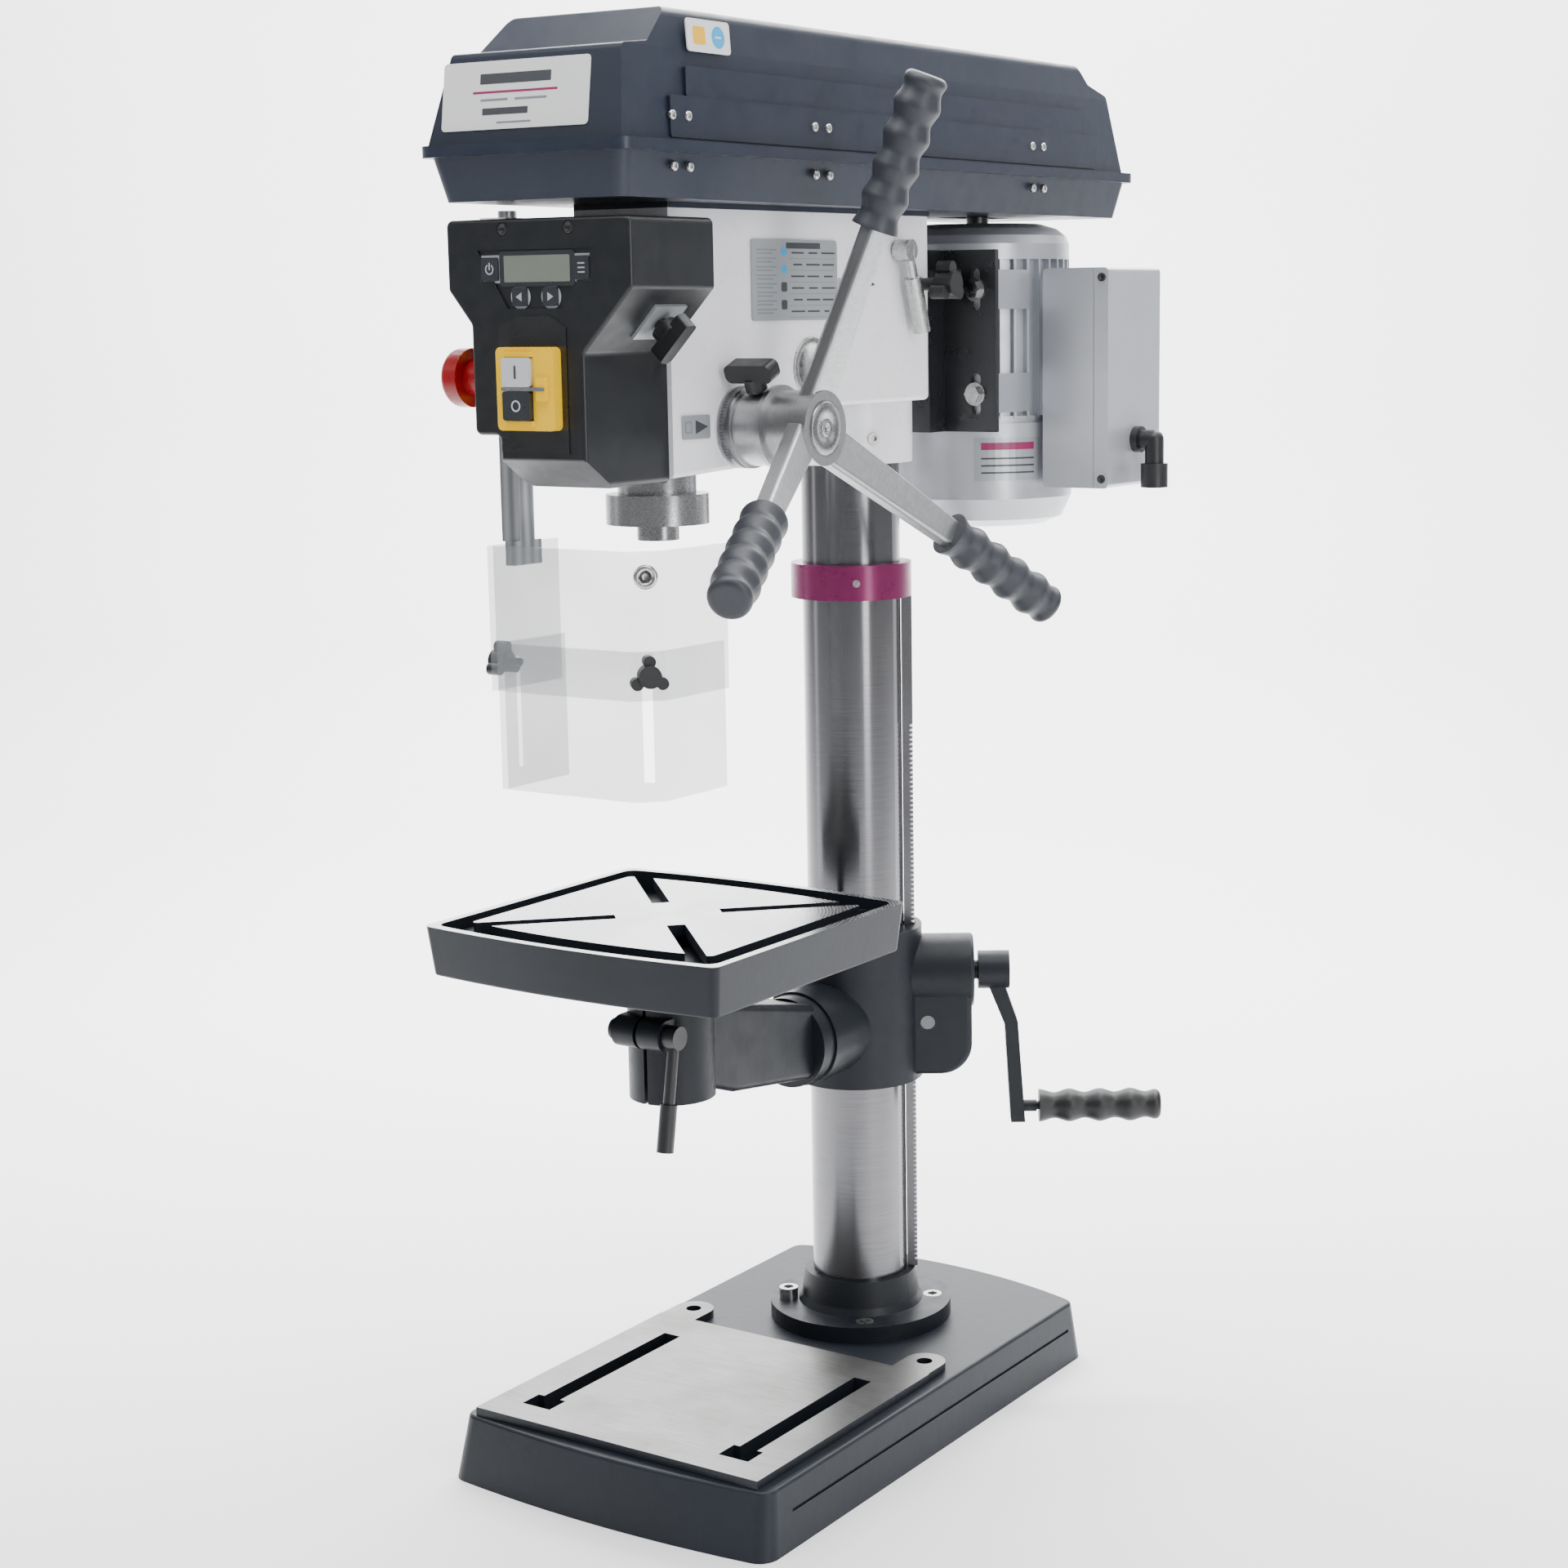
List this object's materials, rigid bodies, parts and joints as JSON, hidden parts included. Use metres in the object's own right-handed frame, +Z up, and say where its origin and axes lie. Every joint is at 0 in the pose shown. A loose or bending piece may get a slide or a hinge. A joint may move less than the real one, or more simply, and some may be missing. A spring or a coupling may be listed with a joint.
{
  "type": "drill press",
  "caption": "Bench drill press: slotted cast base, round column with rack, tilting table with crank, belt head with quill, star handle, chip guard and panel.",
  "frame": {"origin": "column axis, in the plane the base stands on", "axes": "+Z up along the column, -Y towards the operator, +X to the operator's right"},
  "size_m": [0.3707, 0.7728, 1.099],
  "materials": {
    "casting_paint": "satin",
    "white_paint": "satin",
    "cover_paint": "satin",
    "motor_paint": "satin",
    "black_paint": "satin",
    "ring_paint": "satin",
    "ground_steel": "ground",
    "dark_steel": "machined",
    "zinc": "plated",
    "aluminium": "machined",
    "black_plastic": "moulded",
    "grey_plastic": "moulded",
    "yellow_plastic": "moulded",
    "red_plastic": "moulded",
    "green_plastic": "moulded",
    "clear_plastic": "clear",
    "belt_rubber": "moulded"
  },
  "bodies": {
    "machine_frame": {"base": "casting_paint", "column_foot": "casting_paint", "column_bolts": "zinc", "column_tube": "ground_steel", "rack_ring": "ring_paint", "head_casting": "white_paint", "spring_case": "black_paint", "return_spring": "dark_steel", "small_plates": "aluminium", "belt_pan": "cover_paint", "control_housing": "black_plastic", "switch_frame": "yellow_plastic", "stop_collar": "yellow_plastic", "front_belt": "belt_rubber", "rear_belt": "belt_rubber"},
    "belt_cover": {"belt_lid": "cover_paint"},
    "motor_carriage": {"motor_plate": "black_paint", "slide_bars": "ground_steel", "motor_body": "motor_paint", "fan_cowl": "motor_paint", "terminal_box": "motor_paint", "cable_gland": "black_plastic", "motor_bolts": "zinc"},
    "motor_drive": {"motor_rotor": "dark_steel", "motor_pulley": "aluminium"},
    "idler_arm": {"centre_arm": "dark_steel"},
    "idler": {"centre_pulley": "aluminium"},
    "drive_sleeve": {"spindle_pulley": "aluminium"},
    "quill_unit": {"quill": "ground_steel", "quill_bearings": "dark_steel"},
    "spindle_unit": {"spindle": "ground_steel"},
    "feed_star": {"pinion_shaft": "dark_steel", "feed_handle": "aluminium", "handle_grips": "grey_plastic"},
    "depth_scale": {"depth_ring": "aluminium"},
    "depth_clamp": {"depth_knob": "black_plastic"},
    "tension_arm": {"tension_lever": "zinc"},
    "lock_screw": {"lock_knob": "black_plastic"},
    "start": {"start_button": "green_plastic"},
    "off": {"off_button": "red_plastic"},
    "key_power": {"power_key": "red_plastic"},
    "key_menu": {"menu_key": "grey_plastic"},
    "key_mode": {"mode_key": "grey_plastic"},
    "key_unit": {"unit_key": "grey_plastic"},
    "stop": {"stop_button": "red_plastic"},
    "rotary": {"rotary_knob": "black_plastic"},
    "guard": {"guard_rod": "aluminium", "upper_shield": "clear_plastic"},
    "guard_slider": {"lower_shield": "clear_plastic"},
    "slot_screw": {"slot_knob": "black_plastic"},
    "side_screw": {"side_knob": "black_plastic"},
    "rack_bar": {"rack": "dark_steel"},
    "table_carriage": {"table_bracket": "casting_paint"},
    "lift_pinion": {"rack_pinion": "dark_steel"},
    "lift_crank": {"crank": "casting_paint"},
    "crank_handle": {"crank_grip": "black_plastic"},
    "carriage_clamp": {"bracket_lever": "black_plastic"},
    "tilt_arm": {"table_arm": "casting_paint"},
    "table": {"drill_table": "casting_paint"},
    "table_clamp": {"table_lever": "black_plastic"}
  },
  "joints": [
    {"name": "cover_hinge", "type": "hinge", "parent": "machine_frame", "child": "belt_cover", "pos_m": [0.0935, 0, 1.005], "axis": [0, 1, 0], "range_deg": [0, 55]},
    {"name": "motor_slide", "type": "slide", "parent": "machine_frame", "child": "motor_carriage", "axis": [0, 1, 0], "range_m": [-0.018, 0.006], "deforming": ["rear_belt"]},
    {"name": "motor_spin", "type": "hinge", "parent": "motor_carriage", "child": "motor_drive", "pos_m": [0, 0.205, 0.9], "axis": [0, 0, 1], "continuous": true},
    {"name": "idler_swing", "type": "hinge", "parent": "machine_frame", "child": "idler_arm", "pos_m": [0.03, 0.026, 0.96], "axis": [0, 0, 1], "range_deg": [-6, 6], "deforming": ["front_belt", "rear_belt"]},
    {"name": "idler_spin", "type": "hinge", "parent": "idler_arm", "child": "idler", "pos_m": [0, -0.02, 1], "axis": [0, 0, 1], "continuous": true},
    {"name": "sleeve_spin", "type": "hinge", "parent": "machine_frame", "child": "drive_sleeve", "pos_m": [0, -0.258, 1], "axis": [0, 0, 1], "continuous": true},
    {"name": "quill_feed", "type": "slide", "parent": "machine_frame", "child": "quill_unit", "axis": [0, 0, -1], "range_m": [0, 0.08]},
    {"name": "spindle_spin", "type": "hinge", "parent": "quill_unit", "child": "spindle_unit", "pos_m": [0, -0.258, 0.8], "axis": [0, 0, 1], "continuous": true},
    {"name": "feed_turn", "type": "hinge", "parent": "machine_frame", "child": "feed_star", "pos_m": [0.08, -0.217, 0.812], "axis": [1, 0, 0], "range_deg": [-0.5, 340]},
    {"name": "scale_turn", "type": "hinge", "parent": "feed_star", "child": "depth_scale", "pos_m": [0.06, -0.217, 0.812], "axis": [1, 0, 0], "continuous": true},
    {"name": "depth_clamp_turn", "type": "hinge", "parent": "depth_scale", "child": "depth_clamp", "pos_m": [0.071, -0.217, 0.812], "axis": [0, -0.4067, 0.9135], "continuous": true},
    {"name": "tension_turn", "type": "hinge", "parent": "machine_frame", "child": "tension_arm", "pos_m": [0.06, -0.017, 0.941], "axis": [1, 0, 0], "range_deg": [-46, 16]},
    {"name": "lock_turn", "type": "hinge", "parent": "machine_frame", "child": "lock_screw", "pos_m": [0.07, 0.017, 0.915], "axis": [1, 0, 0], "continuous": true},
    {"name": "start_press", "type": "slide", "parent": "machine_frame", "child": "start", "axis": [0, 1, 0], "range_m": [0, 0.003], "stiffness_N_per_m": 400},
    {"name": "off_press", "type": "slide", "parent": "machine_frame", "child": "off", "axis": [0, 1, 0], "range_m": [0, 0.003], "stiffness_N_per_m": 400},
    {"name": "power_press", "type": "slide", "parent": "machine_frame", "child": "key_power", "axis": [0, 1, 0], "range_m": [0, 0.001], "stiffness_N_per_m": 300},
    {"name": "menu_press", "type": "slide", "parent": "machine_frame", "child": "key_menu", "axis": [0, 1, 0], "range_m": [0, 0.001], "stiffness_N_per_m": 300},
    {"name": "mode_press", "type": "slide", "parent": "machine_frame", "child": "key_mode", "axis": [0, 1, 0], "range_m": [0, 0.001], "stiffness_N_per_m": 300},
    {"name": "unit_press", "type": "slide", "parent": "machine_frame", "child": "key_unit", "axis": [0, 1, 0], "range_m": [0, 0.001], "stiffness_N_per_m": 300},
    {"name": "stop_press", "type": "slide", "parent": "machine_frame", "child": "stop", "axis": [1, 0, 0], "range_m": [0, 0.005], "stiffness_N_per_m": 800},
    {"name": "rotary_turn", "type": "hinge", "parent": "machine_frame", "child": "rotary", "pos_m": [0.0595, -0.33, 0.89], "axis": [0.7152, 0, -0.6989], "range_deg": [-60, 60]},
    {"name": "guard_swing", "type": "hinge", "parent": "machine_frame", "child": "guard", "pos_m": [-0.0955, -0.303, 0.95], "axis": [0, 0, 1], "range_deg": [-100, 0]},
    {"name": "guard_height", "type": "slide", "parent": "guard", "child": "guard_slider", "axis": [0, 0, 1], "range_m": [0, 0.052]},
    {"name": "slot_screw_turn", "type": "hinge", "parent": "guard", "child": "slot_screw", "pos_m": [0.0395, -0.3265, 0.641], "axis": [0.7071, -0.7071, 0], "continuous": true},
    {"name": "side_screw_turn", "type": "hinge", "parent": "guard", "child": "side_screw", "pos_m": [-0.098, -0.312, 0.641], "axis": [-1, 0, 0], "continuous": true},
    {"name": "rack_swing", "type": "hinge", "parent": "machine_frame", "child": "rack_bar", "pos_m": [0, 0, 0.3], "axis": [0, 0, 1], "continuous": true},
    {"name": "table_lift", "type": "slide", "parent": "rack_bar", "child": "table_carriage", "axis": [0, 0, 1], "range_m": [-0.15, 0.09]},
    {"name": "pinion_turn", "type": "hinge", "parent": "table_carriage", "child": "lift_pinion", "pos_m": [0.04948, 0.03213, 0.311], "axis": [-0.5446, 0.8387, 0], "range_deg": [-800, 800]},
    {"name": "crank_turn", "type": "hinge", "parent": "table_carriage", "child": "lift_crank", "pos_m": [0.08219, 0.05337, 0.35], "axis": [0.8387, 0.5446, 0], "continuous": true},
    {"name": "crank_grip_turn", "type": "hinge", "parent": "lift_crank", "child": "crank_handle", "pos_m": [0.12832, 0.08333, 0.231], "axis": [0.8387, 0.5446, 0], "continuous": true},
    {"name": "carriage_clamp_turn", "type": "hinge", "parent": "table_carriage", "child": "carriage_clamp", "pos_m": [-0.062, 0, 0.33], "axis": [0, 1, 0], "range_deg": [-20, 40]},
    {"name": "tilt", "type": "hinge", "parent": "table_carriage", "child": "tilt_arm", "pos_m": [0, -0.09, 0.312], "axis": [0, 1, 0], "range_deg": [-45, 45]},
    {"name": "table_spin", "type": "hinge", "parent": "tilt_arm", "child": "table", "pos_m": [0, -0.258, 0.35], "axis": [0, 0, 1], "continuous": true},
    {"name": "table_clamp_turn", "type": "hinge", "parent": "tilt_arm", "child": "table_clamp", "pos_m": [0.0285, -0.292, 0.364], "axis": [1, 0, 0], "range_deg": [-75, 5]}
  ],
  "couplings": [
    {"joint": "idler_spin", "follows": "motor_spin", "ratio": 0.5514},
    {"joint": "sleeve_spin", "follows": "motor_spin", "ratio": 0.26449},
    {"joint": "spindle_spin", "follows": "motor_spin", "ratio": 0.26449},
    {"joint": "feed_turn", "follows": "quill_feed", "rad_per_m": 74.074},
    {"joint": "tension_turn", "follows": "motor_slide", "rad_per_m": 43.6},
    {"joint": "pinion_turn", "follows": "table_lift", "rad_per_m": -88.889},
    {"joint": "crank_turn", "follows": "table_lift", "rad_per_m": 1777.8}
  ]
}
